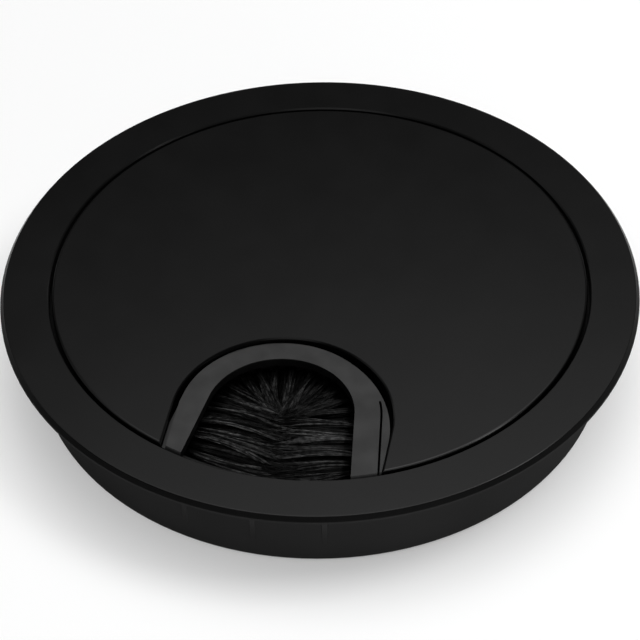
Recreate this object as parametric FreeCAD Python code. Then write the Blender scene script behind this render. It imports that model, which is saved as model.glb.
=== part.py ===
import FreeCAD
import Part
import math
import os

# Round cable grommet for a desk, with a brush-lined outlet in its turning lid. Sizes are in millimetres.
# The origin is on the sleeve's axis at the desk's surface, which is the underside of the flange.
# Z points up out of the desk. The outlet opens towards minus Y.

# Base ring
hole_diameter = 80.0
sleeve_play = 0.35
sleeve_depth = 11.8
sleeve_wall = 1.6
sleeve_foot_bevel = 0.4
flange_overhang = 4.35
flange_thickness = 1.2
flange_edge_run = 0.5
flange_edge_drop = 0.7
flange_rounding = 0.15
flange_lower_bevel = 0.2
recess_wall = 2.35
recess_bevel = 0.2
ledge_width = 1.95
ledge_thickness = 1.6
rounding_flat_count = 4

# Crush ribs on the sleeve
rib_groups = 3
ribs_in_group = 3
rib_pitch_degrees = 13.6
rib_group_turn_degrees = -2.1
rib_length = 8.4
rib_width = 0.8
rib_foot_width = 0.6
rib_height = 0.21
rib_foot_height = 0.05
rib_side_slope = 1.0

# Lid
lid_gap = 0.4
lid_thickness = 2.2
lid_rounding = 0.35
seat_clearance = 0.1
collar_clearance = 0.3
collar_wall = 1.4
hook_count = 4
hook_width = 9.0
hook_reach = 0.8
hook_height = 1.3
hook_tip_height = 0.4
hook_clearance = 0.2
hook_slot_width = 1.2
stiffener_thickness = 1.2
stiffener_height = 2.0

# Cable outlet in the lid, and the trough below it
outlet_width = 29.2
outlet_back = 11.85
outlet_bevel = 0.2
trough_wall = 1.3
trough_floor = 1.2
trough_floor_setback = 1.5

# Brush carrier
carrier_band = 3.44
carrier_crown_thinning = 0.47
carrier_side_room = 1.31
carrier_side_shift = 0.6
carrier_recess = 0.7
carrier_height = 5.5
carrier_step_width = 0.5
carrier_step_drop = 0.3
carrier_clearance = 0.1
carrier_crown_clearance = 0.16
carrier_flare_degrees = 7.5
carrier_foot_slope = 0.6
carrier_foot_drop = 0.6
arm_root_degrees = 62.0
arm_slit_degrees = 20.0
arm_slit = 0.3
arm_clearance = 0.2
arm_height = 3.5

# Slot in the carrier, and the backing strip in it
slot_cover = 1.3
slot_neck_height = 2.4
slot_lip = 0.9
slot_undercut = 0.5
backing_thickness = 0.8
backing_clearance = 0.1

# Bristle tufts
tuft_layers = 3
tuft_pitch = 1.25
tuft_fill = 0.85
tuft_tip_width = 0.35
tuft_tip_height = 0.3
tuft_root_clearance = 0.05
tuft_gap_at_middle = 0.25
tuft_gap_at_centre = 1.4
tuft_length_step = 0.6
tuft_foot_inset = 0.6

# Radii and heights that follow from the sizes above
sleeve_radius = hole_diameter / 2 - sleeve_play
sleeve_bore_radius = sleeve_radius - sleeve_wall
flange_radius = sleeve_radius + flange_overhang
recess_radius = sleeve_radius - recess_wall
ledge_radius = recess_radius - ledge_width
lid_radius = recess_radius - lid_gap
collar_radius = ledge_radius - collar_clearance
lid_top = flange_thickness
lid_bottom = lid_top - lid_thickness
ledge_top = lid_bottom - seat_clearance
ledge_bottom = ledge_top - ledge_thickness
hook_top = ledge_bottom - hook_clearance
collar_bottom = hook_top - hook_height

outlet_radius = outlet_width / 2
outlet_centre_y = -(outlet_back + outlet_radius)
carrier_inner_radius = outlet_radius - carrier_side_room - carrier_band
carrier_outer_radius = carrier_inner_radius + carrier_band
carrier_top = lid_top - carrier_recess
carrier_bottom = carrier_top - carrier_height
flare = math.radians(carrier_flare_degrees)
carrier_centre_x = -carrier_side_shift
arch_room = carrier_side_room - carrier_crown_clearance
carrier_outer_y = outlet_centre_y + math.sqrt(max(arch_room ** 2 - carrier_side_shift ** 2, 0))
carrier_inner_y = carrier_outer_y + carrier_crown_thinning
trough_floor_top = carrier_bottom
trough_floor_bottom = trough_floor_top - trough_floor
trough_inner_radius = carrier_inner_radius + trough_floor_setback

neck_top = carrier_top - slot_cover
neck_bottom = neck_top - slot_neck_height
slot_inner_radius = carrier_inner_radius + slot_lip
slot_outer_radius = slot_inner_radius + backing_thickness + 2 * backing_clearance
slot_top = neck_top + slot_undercut
slot_bottom = neck_bottom - slot_undercut
leg_reach = flange_radius

origin = FreeCAD.Vector(0, 0, 0)
up = FreeCAD.Vector(0, 0, 1)


def line(start, end):
    return Part.LineSegment(start, end).toShape()


def turned_solid(corners, degrees=360.0, start_degrees=0.0):
    """Turn a closed outline about the Z axis. Each corner is its radius, its height and its rounding.
    A rounding is drawn as a few flats, which keeps the turned faces regular."""
    points = [FreeCAD.Vector(radius, 0, height) for radius, height, rounding in corners]
    edges = []
    starts = []
    ends = []
    arcs = []
    for index, corner in enumerate(corners):
        point = points[index]
        rounding = corner[2]
        if rounding == 0:
            starts.append(point)
            ends.append(point)
            arcs.append(None)
            continue
        back = (points[index - 1] - point).normalize()
        ahead = (points[(index + 1) % len(points)] - point).normalize()
        half_angle = back.getAngle(ahead) / 2
        run = rounding / math.tan(half_angle)
        middle_way = (back + ahead).normalize()
        centre = point + middle_way * (rounding / math.sin(half_angle))
        starts.append(point + back * run)
        ends.append(point + ahead * run)
        arc = Part.Arc(starts[-1], centre - middle_way * rounding, ends[-1])
        arcs.append(arc.discretize(Number=rounding_flat_count + 1))
    for index in range(len(corners)):
        if arcs[index] is not None:
            for first, second in zip(arcs[index], arcs[index][1:]):
                edges.append(line(first, second))
        edges.append(line(ends[index], starts[(index + 1) % len(corners)]))
    face = Part.Face(Part.Wire(edges))
    solid = face.revolve(origin, up, degrees)
    solid.rotate(origin, up, start_degrees)
    return solid


def u_spring(radius, centre_x, centre_y, side, flare):
    """Where a leg of a U leaves its arch, and the direction it runs in. The side is -1 on the left and 1 on
    the right."""
    spring_x = centre_x + side * radius * math.cos(flare)
    spring_y = centre_y + radius * math.sin(flare)
    way = FreeCAD.Vector(side * math.sin(flare), -math.cos(flare), 0)
    return FreeCAD.Vector(spring_x, spring_y, 0), way


def u_outline(radius, centre_x, centre_y, flare, height):
    """Closed outline of a U seen from above: an arch at the back and two straight legs out to the front."""
    lift = up * height
    left_spring, left_way = u_spring(radius, centre_x, centre_y, -1, flare)
    right_spring, right_way = u_spring(radius, centre_x, centre_y, 1, flare)
    left_foot = left_spring + left_way * leg_reach
    right_foot = right_spring + right_way * leg_reach
    crown = FreeCAD.Vector(centre_x, centre_y + radius, 0)
    return Part.Wire([
        line(left_foot + lift, left_spring + lift),
        Part.Arc(left_spring + lift, crown + lift, right_spring + lift).toShape(),
        line(right_spring + lift, right_foot + lift),
        line(right_foot + lift, left_foot + lift),
    ])


def u_prism(radius, centre_x, centre_y, flare, low, high):
    """Solid with a U as its outline, between two heights."""
    return Part.Face(u_outline(radius, centre_x, centre_y, flare, low)).extrude(up * (high - low))


def carrier_band_solid(inner, outer, centre_y, low, high):
    """Band of constant width that follows the brush carrier's U, between two radii of its arch."""
    solid = u_prism(outer, carrier_centre_x, centre_y, flare, low, high)
    return solid.cut(u_prism(inner, carrier_centre_x, centre_y, flare, low - 1, high + 1))


def right_side_solid(degrees, low, high):
    """Block that covers the right side of the carrier, from an angle on its arch down to its foot."""
    far = 2 * flange_radius
    angle = math.radians(degrees)
    corners = [
        (carrier_centre_x, carrier_outer_y),
        (carrier_centre_x + far * math.cos(angle), carrier_outer_y + far * math.sin(angle)),
        (carrier_centre_x + far, carrier_outer_y - far),
        (carrier_centre_x, carrier_outer_y - far),
    ]
    points = [FreeCAD.Vector(x, y, low) for x, y in corners]
    face = Part.Face(Part.makePolygon(points + points[:1]))
    return face.extrude(FreeCAD.Vector(0, 0, high - low))


def inside_ring(radius_above, radius_below):
    """Room inside the base ring: one radius above the ledge, where the lid lies, and a smaller one below."""
    return turned_solid([
        (0, carrier_top, 0),
        (radius_above - carrier_foot_slope, carrier_top, 0),
        (radius_above, carrier_top - carrier_foot_drop, 0),
        (radius_above, lid_bottom, 0),
        (radius_below, lid_bottom, 0),
        (radius_below, trough_floor_bottom - 1, 0),
        (0, trough_floor_bottom - 1, 0),
    ])


def rectangle(middle, along, width, height):
    """Corners of an upright rectangle, in order, with its width along a level direction."""
    aside = along * (width / 2)
    above = up * (height / 2)
    return [middle - aside - above, middle + aside - above, middle + aside + above, middle - aside + above]


def flat_sided_solid(first, second):
    """Solid with flat faces between two four-cornered ends whose sides are parallel."""
    outlines = [first, second]
    for index in range(4):
        after = (index + 1) % 4
        outlines.append([first[index], first[after], second[after], second[index]])
    faces = [Part.Face(Part.makePolygon(outline + outline[:1])) for outline in outlines]
    return Part.Solid(Part.Shell(faces))


# Base ring: flange, recess for the lid, ledge and sleeve as one turned section, with the crush ribs joined on
ring = turned_solid([
    (recess_radius, lid_top - recess_bevel, 0),
    (recess_radius + recess_bevel, lid_top, 0),
    (flange_radius - flange_edge_run, lid_top, flange_rounding),
    (flange_radius, lid_top - flange_edge_drop, flange_rounding),
    (flange_radius, flange_lower_bevel, 0),
    (flange_radius - flange_lower_bevel, 0, 0),
    (sleeve_radius, 0, 0),
    (sleeve_radius, -sleeve_depth + sleeve_foot_bevel, 0),
    (sleeve_radius - sleeve_foot_bevel, -sleeve_depth, 0),
    (sleeve_bore_radius, -sleeve_depth, 0),
    (sleeve_bore_radius, ledge_bottom, 0),
    (ledge_radius, ledge_bottom, 0),
    (ledge_radius, ledge_top, 0),
    (recess_radius, ledge_top, 0),
])
rib_ends = []
for width, height, z in ((rib_width, rib_height, 0), (rib_foot_width, rib_foot_height, -rib_length)):
    rib_inside = -(sleeve_radius - sleeve_wall / 2)
    rib_outside = -(sleeve_radius + height)
    rib_spread = (rib_inside - rib_outside) * rib_side_slope
    rib_ends.append([
        FreeCAD.Vector(-width / 2 - rib_spread, rib_inside, z),
        FreeCAD.Vector(width / 2 + rib_spread, rib_inside, z),
        FreeCAD.Vector(width / 2, rib_outside, z),
        FreeCAD.Vector(-width / 2, rib_outside, z),
    ])
rib = flat_sided_solid(rib_ends[0], rib_ends[1])
ribs = []
for group in range(rib_groups):
    for index in range(ribs_in_group):
        along_group = (index - (ribs_in_group - 1) / 2) * rib_pitch_degrees
        turned_rib = rib.copy()
        turned_rib.rotate(origin, up, rib_group_turn_degrees + group * 360 / rib_groups + along_group)
        ribs.append(turned_rib)
base_ring = ring.fuse(ribs).removeSplitter()

# Lid: disc, collar with snap hooks that catch under the ledge, and the trough round the outlet
disc = turned_solid([
    (0, lid_top, 0),
    (lid_radius, lid_top, lid_rounding),
    (lid_radius, lid_bottom, 0),
    (0, lid_bottom, 0),
])
collar = turned_solid([
    (collar_radius, lid_bottom + lid_thickness / 2, 0),
    (collar_radius, collar_bottom, 0),
    (collar_radius - collar_wall, collar_bottom, 0),
    (collar_radius - collar_wall, lid_bottom + lid_thickness / 2, 0),
])
hook_degrees = math.degrees(hook_width / collar_radius)
slot_degrees = math.degrees(hook_slot_width / collar_radius)
hooks = []
hook_slots = []
for index in range(hook_count):
    facing = (index + 0.5) * 360 / hook_count - 90
    hooks.append(turned_solid([
        (collar_radius - collar_wall / 2, hook_top, 0),
        (collar_radius + hook_reach, hook_top, 0),
        (collar_radius + hook_reach, hook_top - hook_tip_height, 0),
        (collar_radius, collar_bottom, 0),
        (collar_radius - collar_wall / 2, collar_bottom, 0),
    ], hook_degrees, facing - hook_degrees / 2))
    for slot_start in (facing - hook_degrees / 2 - slot_degrees, facing + hook_degrees / 2):
        hook_slots.append(turned_solid([
            (collar_radius - collar_wall - 1, lid_bottom, 0),
            (collar_radius + 1, lid_bottom, 0),
            (collar_radius + 1, collar_bottom - 1, 0),
            (collar_radius - collar_wall - 1, collar_bottom - 1, 0),
        ], slot_degrees, slot_start))
trough_top = lid_bottom + lid_thickness / 2
trough_radius = outlet_radius + trough_wall
trough_block = u_prism(trough_radius, 0, outlet_centre_y, 0, trough_floor_bottom, trough_top)
collar_room = Part.makeCylinder(
    collar_radius, 2 * carrier_height + lid_thickness, FreeCAD.Vector(0, 0, trough_floor_bottom - 1)
)
trough_block = trough_block.common(collar_room)
stiffeners = []
for facing in (0, 90, 180):
    stiffener = Part.makeBox(
        collar_radius - collar_wall / 2,
        stiffener_thickness,
        stiffener_height + lid_thickness / 2,
        FreeCAD.Vector(0, -stiffener_thickness / 2, lid_bottom - stiffener_height),
    )
    stiffener.rotate(origin, up, facing)
    stiffeners.append(stiffener)
lid = disc.fuse([collar, trough_block] + hooks + stiffeners)
outlet = u_prism(outlet_radius, 0, outlet_centre_y, 0, trough_floor_top, lid_top + 1)
floor_low = trough_floor_bottom - 1
floor_opening = u_prism(trough_inner_radius, 0, outlet_centre_y, 0, floor_low, lid_top + 1)
bevel_outlines = []
for rise in (-outlet_bevel, outlet_bevel):
    bevel_radius = outlet_radius + outlet_bevel + rise
    bevel_outlines.append(u_outline(bevel_radius, 0, outlet_centre_y, 0, lid_top + rise))
outlet_edge = Part.makeLoft(bevel_outlines, True, True)
lid = lid.cut([outlet, floor_opening, outlet_edge] + hook_slots).removeSplitter()

# Brush carrier: U-shaped band with a slot for the backing, a low step beside its left leg, and a spring arm
# on its right leg. The band is thinner at the crown, because the outer arch's centre lies further forward.
carrier = u_prism(carrier_outer_radius, carrier_centre_x, carrier_outer_y, flare, carrier_bottom, carrier_top)
carrier = carrier.cut(u_prism(
    carrier_inner_radius, carrier_centre_x, carrier_inner_y, flare, carrier_bottom - 1, carrier_top + 1
))
step_edge = outlet_radius - carrier_clearance - carrier_step_width
step_back = outlet_centre_y + outlet_radius / 2
step_low = carrier_top - carrier_step_drop
step_corner = FreeCAD.Vector(-step_edge - outlet_radius, step_back - leg_reach, step_low)
step_room = Part.makeBox(outlet_radius, leg_reach, carrier_step_drop + 1, step_corner)
outlet_room = u_prism(
    outlet_radius - carrier_clearance, 0, outlet_centre_y, 0, carrier_bottom - 1, carrier_top + 1
)
arm_root = math.radians(arm_root_degrees)
arm_face_x = outlet_radius - arm_clearance
arm_room = arm_face_x - carrier_centre_x - carrier_outer_radius * math.cos(arm_root)
arm_curve_radius = arm_room / (1 - math.cos(arm_root))
arm_curve_offset = carrier_outer_radius - arm_curve_radius
arm_curve_x = carrier_centre_x + arm_curve_offset * math.cos(arm_root)
arm_curve_y = carrier_outer_y + arm_curve_offset * math.sin(arm_root)
arm_low = carrier_top - arm_height
arm_points = []
for angle in (arm_root, arm_root / 2, 0):
    arm_points.append(FreeCAD.Vector(
        arm_curve_x + arm_curve_radius * math.cos(angle),
        arm_curve_y + arm_curve_radius * math.sin(angle),
        arm_low,
    ))
arm_foot = FreeCAD.Vector(arm_face_x, carrier_outer_y - leg_reach, arm_low)
arm_inside_foot = FreeCAD.Vector(carrier_centre_x, carrier_outer_y - leg_reach, arm_low)
arm_inside_top = FreeCAD.Vector(carrier_centre_x, carrier_outer_y, arm_low)
arm_outline = Part.Wire([
    Part.Arc(arm_points[0], arm_points[1], arm_points[2]).toShape(),
    line(arm_points[2], arm_foot),
    line(arm_foot, arm_inside_foot),
    line(arm_inside_foot, arm_inside_top),
    line(arm_inside_top, arm_points[0]),
])
arm = Part.Face(arm_outline).extrude(FreeCAD.Vector(0, 0, arm_height))
arm_inside = carrier_outer_radius - carrier_band / 4
arm = arm.cut(u_prism(arm_inside, carrier_centre_x, carrier_outer_y, flare, arm_low - 1, carrier_top + 1))
slit_outside = carrier_outer_radius + arm_slit
slit = carrier_band_solid(carrier_outer_radius, slit_outside, carrier_outer_y, arm_low - 1, carrier_top + 1)
slit = slit.common(right_side_solid(arm_slit_degrees, arm_low - 1, carrier_top + 1))
neck = carrier_band_solid(carrier_inner_radius - 1, slot_inner_radius, carrier_inner_y, neck_bottom, neck_top)
slot = carrier_band_solid(slot_inner_radius, slot_outer_radius, carrier_inner_y, slot_bottom, slot_top)
carrier = carrier.common(outlet_room).cut(step_room).fuse(arm).cut([slit, neck, slot])
brush_carrier = carrier.common(inside_ring(lid_radius, collar_radius)).removeSplitter()

# Backing strip that the tufts are fixed to, inside the carrier's slot
backing_radius = slot_inner_radius + backing_clearance
backing = carrier_band_solid(
    backing_radius,
    backing_radius + backing_thickness,
    carrier_inner_y,
    slot_bottom + backing_clearance,
    slot_top - backing_clearance,
)
brush_backing = backing.common(Part.makeCylinder(
    collar_radius - tuft_foot_inset / 2, 2 * carrier_height, FreeCAD.Vector(0, 0, trough_floor_bottom)
))

# Bristle tufts in layers: along the arch they point at its centre, along the legs at the line between them
root_radius = backing_radius - tuft_root_clearance
legs = []
for side in (-1, 1):
    spring, way = u_spring(root_radius, carrier_centre_x, carrier_inner_y, side, flare)
    towards = spring.dot(way)
    length = math.sqrt(towards ** 2 - spring.dot(spring) + (collar_radius - tuft_foot_inset) ** 2) - towards
    legs.append((spring, way, length))
left_length = legs[0][2]
arch_length = root_radius * (math.pi - 2 * flare)
root_length = left_length + arch_length + legs[1][2]
middle_way = FreeCAD.Vector(0, -1, 0)
aim_room = collar_radius - tuft_foot_inset + carrier_inner_y - tuft_tip_width
layer_height = slot_neck_height / tuft_layers
tufts = []
for layer in range(tuft_layers):
    stagger = 0.25 if layer % 2 else 0.75
    tuft_count = int(root_length / tuft_pitch - stagger)
    tuft_z = neck_top - (layer + 0.5) * layer_height
    for index in range(tuft_count):
        run = (index + stagger) * tuft_pitch
        on_arch = left_length < run < left_length + arch_length
        aim = FreeCAD.Vector(carrier_centre_x, carrier_inner_y, tuft_z)
        if on_arch:
            angle = math.pi - flare - (run - left_length) / root_radius
            root = aim + FreeCAD.Vector(root_radius * math.cos(angle), root_radius * math.sin(angle), 0)
            along = up.cross(aim - root).normalize()
            gap = tuft_gap_at_centre + (index % 3) * tuft_length_step
        else:
            on_left = run <= left_length
            from_spring = left_length - run if on_left else run - left_length - arch_length
            spring, leg_way, length = legs[0] if on_left else legs[1]
            root = spring + leg_way * from_spring + up * tuft_z
            aim = aim + middle_way * (tuft_tip_width + aim_room * from_spring / length)
            along = leg_way if on_left else -leg_way
            gap = tuft_gap_at_middle + (index % 3) * tuft_length_step / 2
        way = (aim - root).normalize()
        tip = aim - way * gap
        root_width = tuft_pitch * tuft_fill
        tip_width = root_width * gap / root_radius if on_arch else tuft_tip_width
        root_corners = rectangle(root, along, root_width, layer_height * tuft_fill)
        tip_corners = rectangle(tip, along, tip_width, tuft_tip_height)
        tufts.append(flat_sided_solid(root_corners, tip_corners))
bristles = Part.makeCompound(tufts)

os.makedirs("parts", exist_ok=True)
base_ring.exportStep("parts/base_ring.step")
lid.exportStep("parts/lid.step")
brush_carrier.exportStep("parts/brush_carrier.step")
brush_backing.exportStep("parts/brush_backing.step")
bristles.exportStep("parts/bristles.step")
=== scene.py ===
import math
import bpy
import numpy as np
from mathutils import Matrix, Vector


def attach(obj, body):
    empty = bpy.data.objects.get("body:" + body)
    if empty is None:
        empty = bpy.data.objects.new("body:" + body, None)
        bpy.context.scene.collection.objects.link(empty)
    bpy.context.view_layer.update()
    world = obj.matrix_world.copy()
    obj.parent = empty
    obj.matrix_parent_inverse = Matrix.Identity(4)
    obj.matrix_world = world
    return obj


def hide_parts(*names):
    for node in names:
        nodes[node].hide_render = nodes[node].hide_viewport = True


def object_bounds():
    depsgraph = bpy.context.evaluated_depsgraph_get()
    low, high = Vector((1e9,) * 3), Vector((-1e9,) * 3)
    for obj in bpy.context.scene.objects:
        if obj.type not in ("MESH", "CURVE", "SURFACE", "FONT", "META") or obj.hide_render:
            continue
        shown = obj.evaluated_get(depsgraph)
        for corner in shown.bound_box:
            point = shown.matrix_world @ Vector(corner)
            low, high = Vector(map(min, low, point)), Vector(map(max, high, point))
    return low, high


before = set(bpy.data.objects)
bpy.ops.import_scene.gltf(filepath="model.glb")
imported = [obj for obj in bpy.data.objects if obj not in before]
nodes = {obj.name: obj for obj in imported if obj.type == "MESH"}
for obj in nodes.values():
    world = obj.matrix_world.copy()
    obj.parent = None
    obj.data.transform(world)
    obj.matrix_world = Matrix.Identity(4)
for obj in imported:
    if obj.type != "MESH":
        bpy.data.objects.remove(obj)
cad_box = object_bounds()

# Camera at the photograph's angle: in front of the outlet and a little to its right, looking down on
# the lid. It aims at a point on the lid just in front of the sleeve's axis, and is rolled slightly.
camera_place = Vector((0.051491, -0.253088, 0.242596))
camera_aim = Vector((0.001551, -0.007794, 0.0012))
camera_roll = math.radians(-1.185)
camera_data = bpy.data.cameras.new("camera")
camera_data.lens = 144.19
camera_data.sensor_width = 36.0
camera_data.clip_start = 0.01
camera = bpy.data.objects.new("camera", camera_data)
bpy.context.scene.collection.objects.link(camera)
camera_look = (camera_aim - camera_place).to_track_quat("-Z", "Y").to_matrix()
camera.rotation_euler = (camera_look @ Matrix.Rotation(camera_roll, 3, "Z")).to_euler()
camera.location = camera_place
bpy.context.scene.camera = camera

# Base ring: flange and sleeve moulded in one piece from black ABS, with a fine spark-eroded grain.
# It drops into the desk hole and lies on its flange.


def grey(level):
    """An opaque grey of the given level."""
    return (level, level, level, 1.0)


def carried(tree, value, from_start, from_end, to_start, to_end):
    """A node's value carried in a straight line from one range to another, and held at the ends of it."""
    carry = tree.nodes.new("ShaderNodeMapRange")
    carry.inputs["From Min"].default_value = from_start
    carry.inputs["From Max"].default_value = from_end
    carry.inputs["To Min"].default_value = to_start
    carry.inputs["To Max"].default_value = to_end
    tree.links.new(value, carry.inputs["Value"])
    return carry.outputs["Result"]


def combined(tree, operation, first, second):
    """Two nodes' values joined by one arithmetic operation."""
    joined = tree.nodes.new("ShaderNodeMath")
    joined.operation = operation
    tree.links.new(first, joined.inputs[0])
    tree.links.new(second, joined.inputs[1])
    return joined.outputs["Value"]


def noise(tree, place, scale, detail):
    """A soft noise between 0 and 1 over the given coordinates, with about so many features to a metre."""
    texture = tree.nodes.new("ShaderNodeTexNoise")
    texture.inputs["Scale"].default_value = scale
    texture.inputs["Detail"].default_value = detail
    tree.links.new(place, texture.inputs["Vector"])
    return texture.outputs["Fac"]


def axis_distance(tree):
    """A point's distance from the sleeve's axis: the length of its place with the height left out."""
    place = tree.nodes.new("ShaderNodeTexCoord")
    level = tree.nodes.new("ShaderNodeVectorMath")
    level.operation = "MULTIPLY"
    level.inputs[1].default_value = (1.0, 1.0, 0.0)
    reach = tree.nodes.new("ShaderNodeVectorMath")
    reach.operation = "LENGTH"
    tree.links.new(place.outputs["Object"], level.inputs[0])
    tree.links.new(level.outputs["Vector"], reach.inputs[0])
    return reach.outputs["Value"]


def moulded_plastic(
    name, dark, light, patch_size, roughness_low, roughness_high, specular, grain_size, grain_depth,
    face, wall, wall_roughness,
):
    """Moulded black plastic. The colour wanders between two greys in soft patches of the given size in
    metres, the roughness follows a finer noise, and the mould's grain is a noise of its own feature size,
    as bump. Just below the height of the face the walls begin, which have the given share of its colour
    and are rougher by the given amount. A share below one paints the walls darker, as painted shade in
    the gaps and recesses."""
    edge_drop = 0.00015
    rubs_to_a_metre = 240.0
    material = bpy.data.materials.new(name)
    material.use_nodes = True
    tree = material.node_tree
    tree.nodes.clear()
    shader = tree.nodes.new("ShaderNodeBsdfPrincipled")
    shader.inputs["Specular IOR Level"].default_value = specular
    output = tree.nodes.new("ShaderNodeOutputMaterial")
    place = tree.nodes.new("ShaderNodeTexCoord").outputs["Object"]
    axes = tree.nodes.new("ShaderNodeSeparateXYZ")
    axes.name = "axes"
    height = axes.outputs["Z"]

    patches = noise(tree, place, 1.0 / patch_size, detail=3.0)
    tint = tree.nodes.new("ShaderNodeValToRGB")
    tint.color_ramp.elements[0].position = 0.3
    tint.color_ramp.elements[0].color = grey(dark)
    tint.color_ramp.elements[1].position = 0.7
    tint.color_ramp.elements[1].color = grey(light)
    paint = tree.nodes.new("ShaderNodeVectorMath")
    paint.operation = "SCALE"
    paint.name = "paint"

    rubbed = noise(tree, place, rubs_to_a_metre, detail=4.0)
    face_roughness = carried(tree, rubbed, 0.0, 1.0, roughness_low, roughness_high)
    added_roughness = carried(tree, height, face - edge_drop, face, wall_roughness, 0.0)
    # A wall share below one is painted shade on the walls.
    colour_share = carried(tree, height, face - edge_drop, face, wall, 1.0)
    roughness = combined(tree, "ADD", face_roughness, added_roughness)

    grain = noise(tree, place, 1.0 / grain_size, detail=2.0)
    bump = tree.nodes.new("ShaderNodeBump")
    bump.inputs["Strength"].default_value = 0.35
    bump.inputs["Distance"].default_value = grain_depth

    tree.links.new(place, axes.inputs["Vector"])
    tree.links.new(patches, tint.inputs["Fac"])
    tree.links.new(tint.outputs["Color"], paint.inputs["Vector"])
    tree.links.new(colour_share, paint.inputs["Scale"])
    tree.links.new(paint.outputs["Vector"], shader.inputs["Base Color"])
    tree.links.new(roughness, shader.inputs["Roughness"])
    tree.links.new(grain, bump.inputs["Height"])
    tree.links.new(bump.outputs["Normal"], shader.inputs["Normal"])
    tree.links.new(shader.outputs["BSDF"], output.inputs["Surface"])
    return material


def wear(node, material):
    """Give a CAD node one material all over."""
    mesh = nodes[node].data
    mesh.materials.clear()
    mesh.materials.append(material)


wear("base_ring", moulded_plastic(
    "ring_plastic", dark=0.0024, light=0.0036, patch_size=0.016, roughness_low=0.15, roughness_high=0.21,
    specular=0.205, grain_size=0.00025, grain_depth=0.000004, face=0.0006, wall=1.0, wall_roughness=0.5,
))

# Below its face the outside of the ring, from the flange's sloped edge down, is left matt by the mould.
# A mesh face is outside where its middle is past the sleeve's bore and under the flange's top.
sleeve_wall_radius = 0.03965
outside_from = sleeve_wall_radius - 0.0011
outside_below = 0.0011
outside_material = moulded_plastic(
    "ring_outside", dark=0.0045, light=0.0055, patch_size=0.016, roughness_low=0.15, roughness_high=0.21,
    specular=0.02, grain_size=0.00025, grain_depth=0.000004, face=0.0006, wall=3.7, wall_roughness=0.5,
)
ring_mesh = nodes["base_ring"].data
ring_mesh.materials.append(outside_material)
face_middles = np.empty(3 * len(ring_mesh.polygons), dtype=np.float32)
ring_mesh.polygons.foreach_get("center", face_middles)
face_middles = face_middles.reshape(-1, 3)
face_reach = np.hypot(face_middles[:, 0], face_middles[:, 1])
outside = (face_reach > outside_from) & (face_middles[:, 2] < outside_below)
ring_mesh.polygons.foreach_set("material_index", outside.astype(np.int32))

# The crush ribs stand proud of the sleeve, and their tops are painted paler, as a painted highlight.
# A point is on a rib where its distance from the axis is past the sleeve's wall, below the flange.
rib_highlight_grey = 0.028
rib_foot = sleeve_wall_radius + 0.00006
rib_top = sleeve_wall_radius + 0.00014
rib_starts = -0.0005
rib_is_full = -0.0008
ring_tree = outside_material.node_tree
ring_shader = ring_tree.nodes["Principled BSDF"]
rib_proud = carried(ring_tree, axis_distance(ring_tree), rib_foot, rib_top, 0.0, 1.0)
rib_below = carried(ring_tree, ring_tree.nodes["axes"].outputs["Z"], rib_starts, rib_is_full, 0.0, 1.0)
# The paler rib colour is a painted highlight along each rib.
rib_highlight_paint = ring_tree.nodes.new("ShaderNodeMix")
rib_highlight_paint.data_type = "RGBA"
rib_highlight_paint.inputs["B"].default_value = grey(rib_highlight_grey)
ring_tree.links.new(combined(ring_tree, "MULTIPLY", rib_proud, rib_below), rib_highlight_paint.inputs["Factor"])
ring_tree.links.new(ring_tree.nodes["paint"].outputs["Vector"], rib_highlight_paint.inputs["A"])
ring_tree.links.new(rib_highlight_paint.outputs["Result"], ring_shader.inputs["Base Color"])

# Lid: a disc of the same black ABS, snapped into the ring so that it turns.
# Its face has the same fine grain, with the trough for the brush moulded on below.
# Its walls are painted at a fifth of the face's colour, as painted shade in the gap round the lid and in
# the outlet.
wear("lid", moulded_plastic(
    "lid_plastic", dark=0.0025, light=0.0037, patch_size=0.016, roughness_low=0.15, roughness_high=0.21,
    specular=0.21, grain_size=0.00025, grain_depth=0.000004, face=0.00119, wall=0.2, wall_roughness=0.0,
))

# Brush carrier: a U of softer, duller plastic pushed into the lid's outlet and held by its spring arm.
# It is a shade lighter than the lid, with a slightly mottled matt face and smoother walls.
# Its walls are painted far darker than its face, as painted shade on the walls inside the outlet.
wear("brush_carrier", moulded_plastic(
    "carrier_plastic", dark=0.0085, light=0.022, patch_size=0.003, roughness_low=0.38, roughness_high=0.5,
    specular=0.34, grain_size=0.0002, grain_depth=0.00001, face=0.00045, wall=0.12, wall_roughness=-0.1,
))

# Backing strip: the black strip that the tufts are woven into, slid into the carrier's slot.
# Only its edges can be seen, between the roots of the tufts.
wear("brush_backing", moulded_plastic(
    "backing_plastic", dark=0.004, light=0.007, patch_size=0.016, roughness_low=0.6, roughness_high=0.7,
    specular=0.28, grain_size=0.0003, grain_depth=0.00002, face=-0.0002, wall=1.0, wall_roughness=0.0,
))

# Bristles: fine black nylon fibres in tufts, fixed to the backing in staggered rows. Round the arch they
# point at its centre, and from the legs they meet along a line that runs out to the front.
# First the line of their roots on the backing, and the line on which they meet.
arch_x = -0.0006
arch_y = -0.025
root_radius = 0.0108
leg_flare = math.radians(7.5)
left_leg = 0.0086
right_leg = 0.009
arch_length = root_radius * (math.pi - 2 * leg_flare)
root_length = left_leg + arch_length + right_leg
meeting_turn = math.radians(9.0)
meeting_start = 0.0003
meeting_pace = 1.15
room_radius = 0.03522
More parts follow.
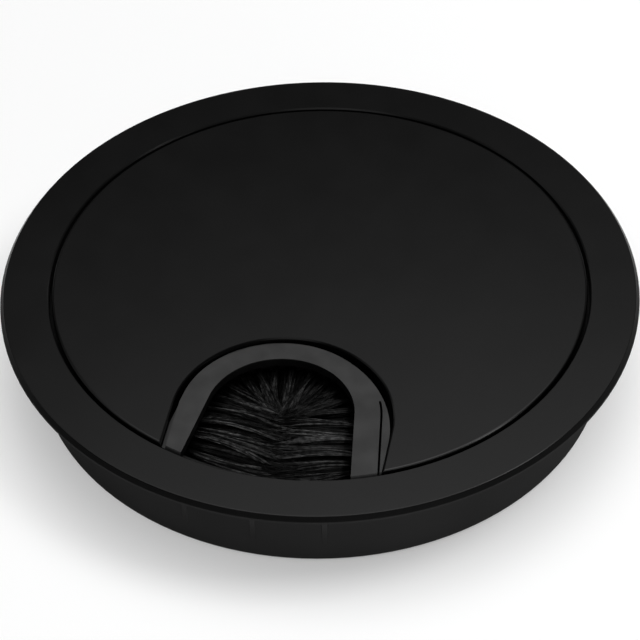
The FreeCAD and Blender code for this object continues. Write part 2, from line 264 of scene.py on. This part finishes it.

# Four rows of tufts from the top one down: the height of the roots, the rise to the tips, the spacing,
# half the width, the strands in a tuft, how loosely they lie, how pale they are on the arch and the legs
# (darker lower down and on the arch, as painted shade), how much farther than the top row they reach
# there, and how far forward they splay at the feet.
tuft_rows = np.array([-0.0018, -0.0022, -0.0026, -0.0029])
tuft_rise = np.array([0.0008, 0.0008, 0.0007, 0.0006])
tuft_pitches = np.array([0.0026, 0.0026, 0.0009, 0.0007])
tuft_half_widths = np.array([0.00042, 0.00042, 0.0005, 0.0005])
tuft_strands = np.array([15, 15, 6, 6])
tuft_loose = np.array([1.0, 0.9, 0.5, 0.35])
arch_shade = np.array([0.85, 0.5, 0.06, 0.04])
leg_shade = np.array([1.45, 1.1, 0.6, 0.38])
arch_reach = np.array([0.0, 0.03, 0.1, 0.12])
leg_reach = np.array([0.0, 0.05, 0.2, 0.3])
forward_splay = np.array([0.0, 0.001, 0.004, 0.007])
upper_rows = 2
chance = np.random.default_rng(11)
even_chance = np.random.default_rng(5)


def along_roots(run, splay):
    """Points on the backing's face at a distance along it: up the left leg, round the arch and down the
    right leg. Also the point in the middle of the outlet that a fibre there aims at: the arch's centre,
    or from a leg a point on the meeting line, farther out the lower the root is. Towards the feet it moves
    forward by the splay, in proportion to the squared distance down the leg."""
    angle = math.pi - leg_flare - (run - left_leg) / root_radius
    on_left = run < left_leg
    on_arch = (run >= left_leg) & (run <= left_leg + arch_length)
    below = np.where(on_left, left_leg - run, run - left_leg - arch_length)
    side = np.where(on_left, -1.0, 1.0)
    leg_x = arch_x + side * (root_radius * math.cos(leg_flare) + below * math.sin(leg_flare))
    leg_y = arch_y + root_radius * math.sin(leg_flare) - below * math.cos(leg_flare)
    x = np.where(on_arch, arch_x + root_radius * np.cos(angle), leg_x)
    y = np.where(on_arch, arch_y + root_radius * np.sin(angle), leg_y)
    splayed = splay * np.clip(below / left_leg, 0, 1) ** 2
    ahead = np.where(on_arch, 0.0, meeting_start + meeting_pace * below + splayed)
    return x, y, arch_x + ahead * math.sin(meeting_turn), arch_y - ahead * math.cos(meeting_turn)


# Tufts stand along each row at its spacing, every other row half a step along.
# At the ends of the legs the lower rows have extra tufts that fan out to the front.
first_step = 0.25
row_stagger = 0.5
run_jitter = 0.00012
height_jitter = 0.00006
end_margin = 0.0003
sway_size = np.array([0.0004, 0.0004, 0.0003])
bow_size = np.array([0.0002, 0.0002, 0.0002])
front_rows = (2, 3)
front_tufts = 6
front_outermost = -0.0006
front_innermost = 0.0012
front_splay = 0.009
tufts_in_row = (root_length / tuft_pitches).astype(int)
row = np.repeat(np.arange(len(tuft_rows)), tufts_in_row)
place_in_row = np.concatenate([np.arange(count) for count in tufts_in_row])
place_in_row = place_in_row + first_step + row_stagger * (row % 2)
tuft_run = place_in_row * tuft_pitches[row] + chance.normal(0, run_jitter, len(row))
tuft_run = np.clip(tuft_run, end_margin, root_length - end_margin)
end_runs = np.linspace(front_outermost, front_innermost, front_tufts)
front_runs = np.concatenate([end_runs, root_length - end_runs])
row = np.concatenate([row] + [np.full(len(front_runs), front_row) for front_row in front_rows])
tuft_run = np.concatenate([tuft_run] + [front_runs] * len(front_rows))
tuft_height = tuft_rows[row] + chance.normal(0, height_jitter, len(row))
tuft_sway = chance.normal(0, 1.0, (len(row), 3)) * sway_size * tuft_loose[row, None]
tuft_bow = chance.normal(0, 1.0, (len(row), 3)) * bow_size * tuft_loose[row, None]
on_arch = (tuft_run > left_leg) & (tuft_run < left_leg + arch_length)

# The lower rows are painted darker, as painted shade under the upper ones, and the arch darker than
# the legs, as painted shade under the carrier's lip. Tufts right of the crown are painted duller, as
# painted shade beside the carrier, and tufts at the left foot darker, most in the middle of each of
# those two places and less away from it, along a bell curve.
painted_shade_right_middle = left_leg + 0.72 * arch_length
painted_shade_right_width = 0.005
painted_shade_right_depth = 0.65
dull_foot_middle = 0.0022
dull_foot_width = 0.0016
dull_foot_depth = 0.6
# Painted shade on the tufts right of the crown, beside the carrier.
painted_shade_right = 1 - painted_shade_right_depth * np.exp(-((tuft_run - painted_shade_right_middle) / painted_shade_right_width) ** 2)
dull_foot = 1 - dull_foot_depth * np.exp(-((tuft_run - dull_foot_middle) / dull_foot_width) ** 2)
dullest_tuft = 0.5
palest_tuft = 1.25
tuft_shade = chance.uniform(dullest_tuft, palest_tuft, len(row))
tuft_shade = tuft_shade * np.where(on_arch, arch_shade[row], leg_shade[row])
tuft_shade = tuft_shade * painted_shade_right * dull_foot

# A tuft's fibres cling together in strands of a few, and every other strand or so is painted paler than
# the rest, as painted highlights on the black nylon. In the lower rows the fibres lie loose and evenly side
# by side, and close the brush.
strand_spread = 0.55
strand_lift_size = 0.0002
strand_stray_size = np.array([0.00035, 0.00035, 0.0002])
arch_reach_range = (0.62, 0.97)
leg_reach_range = (0.8, 1.03)
highlight_share = 0.48
highlight_range = (0.4, 1.0)
dark_range = (0.0, 0.1)
strand_tuft = np.repeat(np.arange(len(row)), tuft_strands[row])
strand_row = row[strand_tuft]
strand_count = len(strand_tuft)
strand_offset = np.clip(chance.normal(0, strand_spread, strand_count), -1, 1)
even_offset = even_chance.uniform(-1, 1, strand_count)
strand_offset = np.where(strand_row < upper_rows, strand_offset, even_offset) * tuft_half_widths[strand_row]
strand_lift = np.clip(chance.normal(0, strand_spread, strand_count), -1, 1) * strand_lift_size
strand_reach = np.where(
    on_arch[strand_tuft],
    chance.uniform(*arch_reach_range, strand_count) + arch_reach[strand_row],
    chance.uniform(*leg_reach_range, strand_count) + leg_reach[strand_row],
)
strand_stray = chance.normal(0, 1.0, (strand_count, 3)) * strand_stray_size
# Paler strands are painted highlights.
strand_highlit = chance.uniform(0, 1, strand_count) < highlight_share
strand_shade = np.where(
    strand_highlit,
    chance.uniform(*highlight_range, strand_count),
    chance.uniform(*dark_range, strand_count),
)

# Each fibre leaves the backing beside its strand's middle, aims at the meeting line and strays a little.
strand_fibres = 5
upper_fibre_spread = 0.00004
lower_fibre_spread = 0.00015
lift_jitter = 0.00004
lift_at_tip = 0.4
run_past_end = 0.0007
reach_jitter = 0.025
fibre_stray_size = np.array([0.0001, 0.0001, 0.00006])
fibre_bow_size = np.array([0.00012, 0.00012, 0.00008])
strand = np.repeat(np.arange(strand_count), strand_fibres)
tuft = strand_tuft[strand]
fibre_row = row[tuft]
fibre_count = len(tuft)
fibre_spread = np.where(fibre_row < upper_rows, upper_fibre_spread, lower_fibre_spread)
offset = strand_offset[strand] + chance.normal(0, 1.0, fibre_count) * fibre_spread
lift = strand_lift[strand] + chance.normal(0, lift_jitter, fibre_count)
run = np.clip(tuft_run[tuft] + offset, -run_past_end, root_length + run_past_end)
at_front = tuft >= len(row) - len(front_rows) * len(front_runs)
splay = chance.uniform(0, 1, fibre_count) * np.where(at_front, front_splay, forward_splay[fibre_row])
root_x, root_y, aim_x, aim_y = along_roots(run, splay)
root = np.stack([root_x, root_y, tuft_height[tuft] + lift], axis=1)
aim = np.stack([aim_x, aim_y, tuft_height[tuft] + lift_at_tip * lift + tuft_rise[fibre_row]], axis=1)
reach = strand_reach[strand] + chance.normal(0, reach_jitter, fibre_count)
stray = strand_stray[strand] + chance.normal(0, 1.0, (fibre_count, 3)) * fibre_stray_size
tip = root + (aim - root) * reach[:, None] + tuft_sway[tuft] + stray
bow = tuft_bow[tuft] + chance.normal(0, 1.0, (strand_count, 3))[strand] * fibre_bow_size

# Each fibre's middle line runs from root to tip with a parabolic bow and stays inside the ring's ledge.
# Three-sided rings follow that line and shrink towards the tip, and both ends are closed.
fibre_radius = 0.000045
fibre_steps = 4
fibre_sides = 3
tip_thinning = 0.45
along = np.linspace(0.0, 1.0, fibre_steps + 1)
step = along[None, :, None]
middle = root[:, None, :] + (tip - root)[:, None, :] * step + bow[:, None, :] * 4 * step * (1 - step)
from_axis = np.hypot(middle[:, :, 0], middle[:, :, 1])
middle[:, :, :2] *= np.minimum(1.0, room_radius / from_axis)[:, :, None]
way = tip - root
way = way / np.linalg.norm(way, axis=1, keepdims=True)
across = np.cross(way, np.array([0.0, 0.0, 1.0]))
across = across / np.linalg.norm(across, axis=1, keepdims=True)
above = np.cross(across, way)
corner_turns = np.arange(fibre_sides) * 2 * math.pi / fibre_sides
spin = chance.uniform(0, 2 * math.pi, fibre_count)[:, None] + corner_turns
ring = np.cos(spin)[:, :, None] * across[:, None, :] + np.sin(spin)[:, :, None] * above[:, None, :]
thickness = fibre_radius * (1 - tip_thinning * along ** 2)
points = middle[:, :, None, :] + ring[:, None, :, :] * thickness[None, :, None, None]
corners = np.arange(fibre_sides)
ring_index = np.arange(fibre_steps)[:, None] * fibre_sides + corners
after = np.arange(fibre_steps)[:, None] * fibre_sides + (corners + 1) % fibre_sides
quads = np.stack([ring_index, ring_index + fibre_sides, after + fibre_sides, after], axis=-1).reshape(-1, 4)
fibre_start = np.arange(fibre_count)[:, None, None] * (fibre_steps + 1) * fibre_sides
quads = (fibre_start + quads).reshape(-1, 4)
caps = np.stack([corners, corners[::-1] + fibre_steps * fibre_sides])
caps = (fibre_start + caps).reshape(-1, fibre_sides)
bristle_mesh = bpy.data.meshes.new("bristle_fibres")
bristle_mesh.from_pydata(points.reshape(-1, 3), [], quads.tolist() + caps.tolist())
bristle_mesh.polygons.foreach_set("use_smooth", np.ones(len(bristle_mesh.polygons), dtype=bool))

# A fibre's paleness is kept on its points. It starts dark at the root, longer on the arch than on the
# legs, as painted shade under the carrier's lip.
root_paleness = 0.06
arch_dark_root = 0.22
leg_dark_root = 0.06
paleness_rise = 0.3
shade = np.clip(strand_shade[strand] * tuft_shade[tuft], 0, 1)
dark_root = np.where(on_arch[tuft], arch_dark_root, leg_dark_root)
risen = np.clip((along[None, :] - dark_root[:, None]) / paleness_rise, 0, 1)
# Painted shade at the root, rising to the fibre's own paleness.
painted_root_shade = root_paleness + (1 - root_paleness) * risen
shade = np.repeat(shade[:, None] * painted_root_shade, fibre_sides, axis=1)
shade_layer = bristle_mesh.attributes.new("fibre_shade", "FLOAT", "POINT")
shade_layer.data.foreach_set("value", shade.reshape(-1).astype(np.float32))

# The nylon has a soft sheen, and small patches along the fibres are painted paler or duller, which
# breaks the painted highlights into short lengths.
fibre_dark = 0.0014
fibre_light = 0.082
fibre_patch_size = 0.0007
patch_range = (0.38, 0.62)
gleam_range = (0.3, 1.5)
fibre_material = bpy.data.materials.new("bristle_fibre")
fibre_material.use_nodes = True
fibre_tree = fibre_material.node_tree
fibre_shader = fibre_tree.nodes["Principled BSDF"]
fibre_shader.inputs["Roughness"].default_value = 0.3
fibre_shader.inputs["Specular IOR Level"].default_value = 0.11
fibre_shade = fibre_tree.nodes.new("ShaderNodeAttribute")
fibre_shade.attribute_name = "fibre_shade"
fibre_tint = fibre_tree.nodes.new("ShaderNodeValToRGB")
fibre_tint.color_ramp.elements[0].color = grey(fibre_dark)
fibre_tint.color_ramp.elements[1].color = grey(fibre_light)
fibre_place = fibre_tree.nodes.new("ShaderNodeTexCoord").outputs["Object"]
fibre_patches = noise(fibre_tree, fibre_place, 1.0 / fibre_patch_size, detail=2.0)
fibre_gleam = carried(fibre_tree, fibre_patches, *patch_range, *gleam_range)
fibre_paint = fibre_tree.nodes.new("ShaderNodeVectorMath")
fibre_paint.operation = "SCALE"
fibre_tree.links.new(fibre_shade.outputs["Fac"], fibre_tint.inputs["Fac"])
fibre_tree.links.new(fibre_tint.outputs["Color"], fibre_paint.inputs["Vector"])
fibre_tree.links.new(fibre_gleam, fibre_paint.inputs["Scale"])
fibre_tree.links.new(fibre_paint.outputs["Vector"], fibre_shader.inputs["Base Color"])
bristle_mesh.materials.append(fibre_material)
bristle_piece = bpy.data.objects.new("bristle_fibres", bristle_mesh)
bpy.context.scene.collection.objects.link(bristle_piece)
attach(bristle_piece, "cover")
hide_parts("bristles")

# Floor: a plain white sheet that the grommet stands on, at the foot of its sleeve. It looks white to the
# camera and in reflections, and keeps a soft shadow. Inside the sleeve it has no glow and lies in the dark.
floor_height = cad_box[0].z
floor_half = 2.5
floor_white = 0.95
floor_glow_share = 0.35
glow_fade = 0.001
floor_mesh = bpy.data.meshes.new("floor")
floor_mesh.from_pydata(
    [
        (-floor_half, -floor_half, floor_height),
        (floor_half, -floor_half, floor_height),
        (floor_half, floor_half, floor_height),
        (-floor_half, floor_half, floor_height),
    ],
    [],
    [(0, 1, 2, 3)],
)
floor_material = bpy.data.materials.new("floor_white")
floor_material.use_nodes = True
floor_tree = floor_material.node_tree
floor_tree.nodes.clear()
floor_paint = floor_tree.nodes.new("ShaderNodeBsdfDiffuse")
floor_paint.inputs["Color"].default_value = grey(floor_white)
floor_glow = floor_tree.nodes.new("ShaderNodeEmission")
floor_glow.inputs["Strength"].default_value = 1.0
floor_ray = floor_tree.nodes.new("ShaderNodeLightPath").outputs
floor_seen = combined(floor_tree, "MAXIMUM", floor_ray["Is Camera Ray"], floor_ray["Is Glossy Ray"])
floor_mirrored = combined(floor_tree, "MAXIMUM", floor_seen, floor_ray["Is Transmission Ray"])
floor_outside = carried(
    floor_tree, axis_distance(floor_tree),
    sleeve_wall_radius - glow_fade, sleeve_wall_radius, 0.0, floor_glow_share,
)
floor_mix = floor_tree.nodes.new("ShaderNodeMixShader")
floor_output = floor_tree.nodes.new("ShaderNodeOutputMaterial")
floor_tree.links.new(
    combined(floor_tree, "MULTIPLY", floor_mirrored, floor_outside), floor_mix.inputs["Fac"]
)
floor_tree.links.new(floor_paint.outputs["BSDF"], floor_mix.inputs[1])
floor_tree.links.new(floor_glow.outputs["Emission"], floor_mix.inputs[2])
floor_tree.links.new(floor_mix.outputs["Shader"], floor_output.inputs["Surface"])
floor_mesh.materials.append(floor_material)
floor = bpy.data.objects.new("floor", floor_mesh)
bpy.context.scene.collection.objects.link(floor)

# Studio: a soft dome that is pale at the horizon, dim above it and bright overhead, with a softbox high
# behind that the lid mirrors, and dimmer ones in front and to the left for the other sides. Each is a
# direction with levels that depend on how nearly a ray points along it, from a cosine of 0 up to 1.
world = bpy.data.worlds.new("studio")
world.use_nodes = True
bpy.context.scene.world = world
sky_tree = world.node_tree
sky_background = sky_tree.nodes["Background"]
sky_background.inputs["Strength"].default_value = 1.92
sky_place = sky_tree.nodes.new("ShaderNodeTexCoord")
dome_levels = [(0.0, 0.3), (0.1, 0.25), (0.2, 0.03), (0.62, 0.012), (0.79, 0.05), (0.88, 0.8), (1.0, 1.0)]
behind_levels = [(0.9, 0.0), (0.914, 0.03), (0.928, 0.14), (0.943, 0.37), (0.957, 0.64), (1.0, 0.9)]
front_levels = [(0.92, 0.0), (0.97, 0.25), (1.0, 0.35)]
left_levels = [(0.9, 0.0), (0.96, 0.15), (1.0, 0.25)]
sky_glows = [
    ((0.0, 0.0, 1.0), dome_levels),
    ((-0.02, 0.43, 0.9), behind_levels),
    ((0.0, -0.72, 0.69), front_levels),
    ((-0.78, 0.0, 0.62), left_levels),
]
sky_total = None
for direction, levels in sky_glows:
    glow_way = sky_tree.nodes.new("ShaderNodeVectorMath")
    glow_way.operation = "DOT_PRODUCT"
    glow_way.inputs[1].default_value = Vector(direction).normalized()
    glow_ramp = sky_tree.nodes.new("ShaderNodeValToRGB")
    stops = glow_ramp.color_ramp.elements
    for index, (at, level) in enumerate(levels):
        stop = stops[index] if index < len(stops) else stops.new(at)
        stop.position = at
        stop.color = grey(level)
    sky_tree.links.new(sky_place.outputs["Generated"], glow_way.inputs[0])
    sky_tree.links.new(glow_way.outputs["Value"], glow_ramp.inputs["Fac"])
    glow_added = glow_ramp.outputs["Color"]
    if sky_total is not None:
        sky_sum = sky_tree.nodes.new("ShaderNodeVectorMath")
        sky_sum.operation = "ADD"
        sky_tree.links.new(sky_total, sky_sum.inputs[0])
        sky_tree.links.new(glow_added, sky_sum.inputs[1])
        glow_added = sky_sum.outputs["Vector"]
    sky_total = glow_added
sky_tree.links.new(sky_total, sky_background.inputs["Color"])


def soft_lamp(name, place, width, height, energy):
    """A rectangular area lamp at a place, turned towards the middle of the lid."""
    lamp_aim = Vector((0, -0.01, 0))
    lamp_data = bpy.data.lights.new(name, "AREA")
    lamp_data.shape = "RECTANGLE"
    lamp_data.size = width
    lamp_data.size_y = height
    lamp_data.energy = energy
    lamp = bpy.data.objects.new(name, lamp_data)
    lamp.location = place
    lamp.rotation_euler = (lamp_aim - lamp.location).to_track_quat("-Z", "Y").to_euler()
    bpy.context.scene.collection.objects.link(lamp)


# The key lamp is high on the right, and a low one reaches the sleeve under the flange.
soft_lamp("key_lamp", place=(0.33, 0.06, 0.5), width=0.25, height=0.25, energy=1.18)
soft_lamp("low_lamp", place=(0.4, -0.55, 0.07), width=0.5, height=0.1, energy=1.4)

bpy.context.scene.view_settings.view_transform = "Standard"
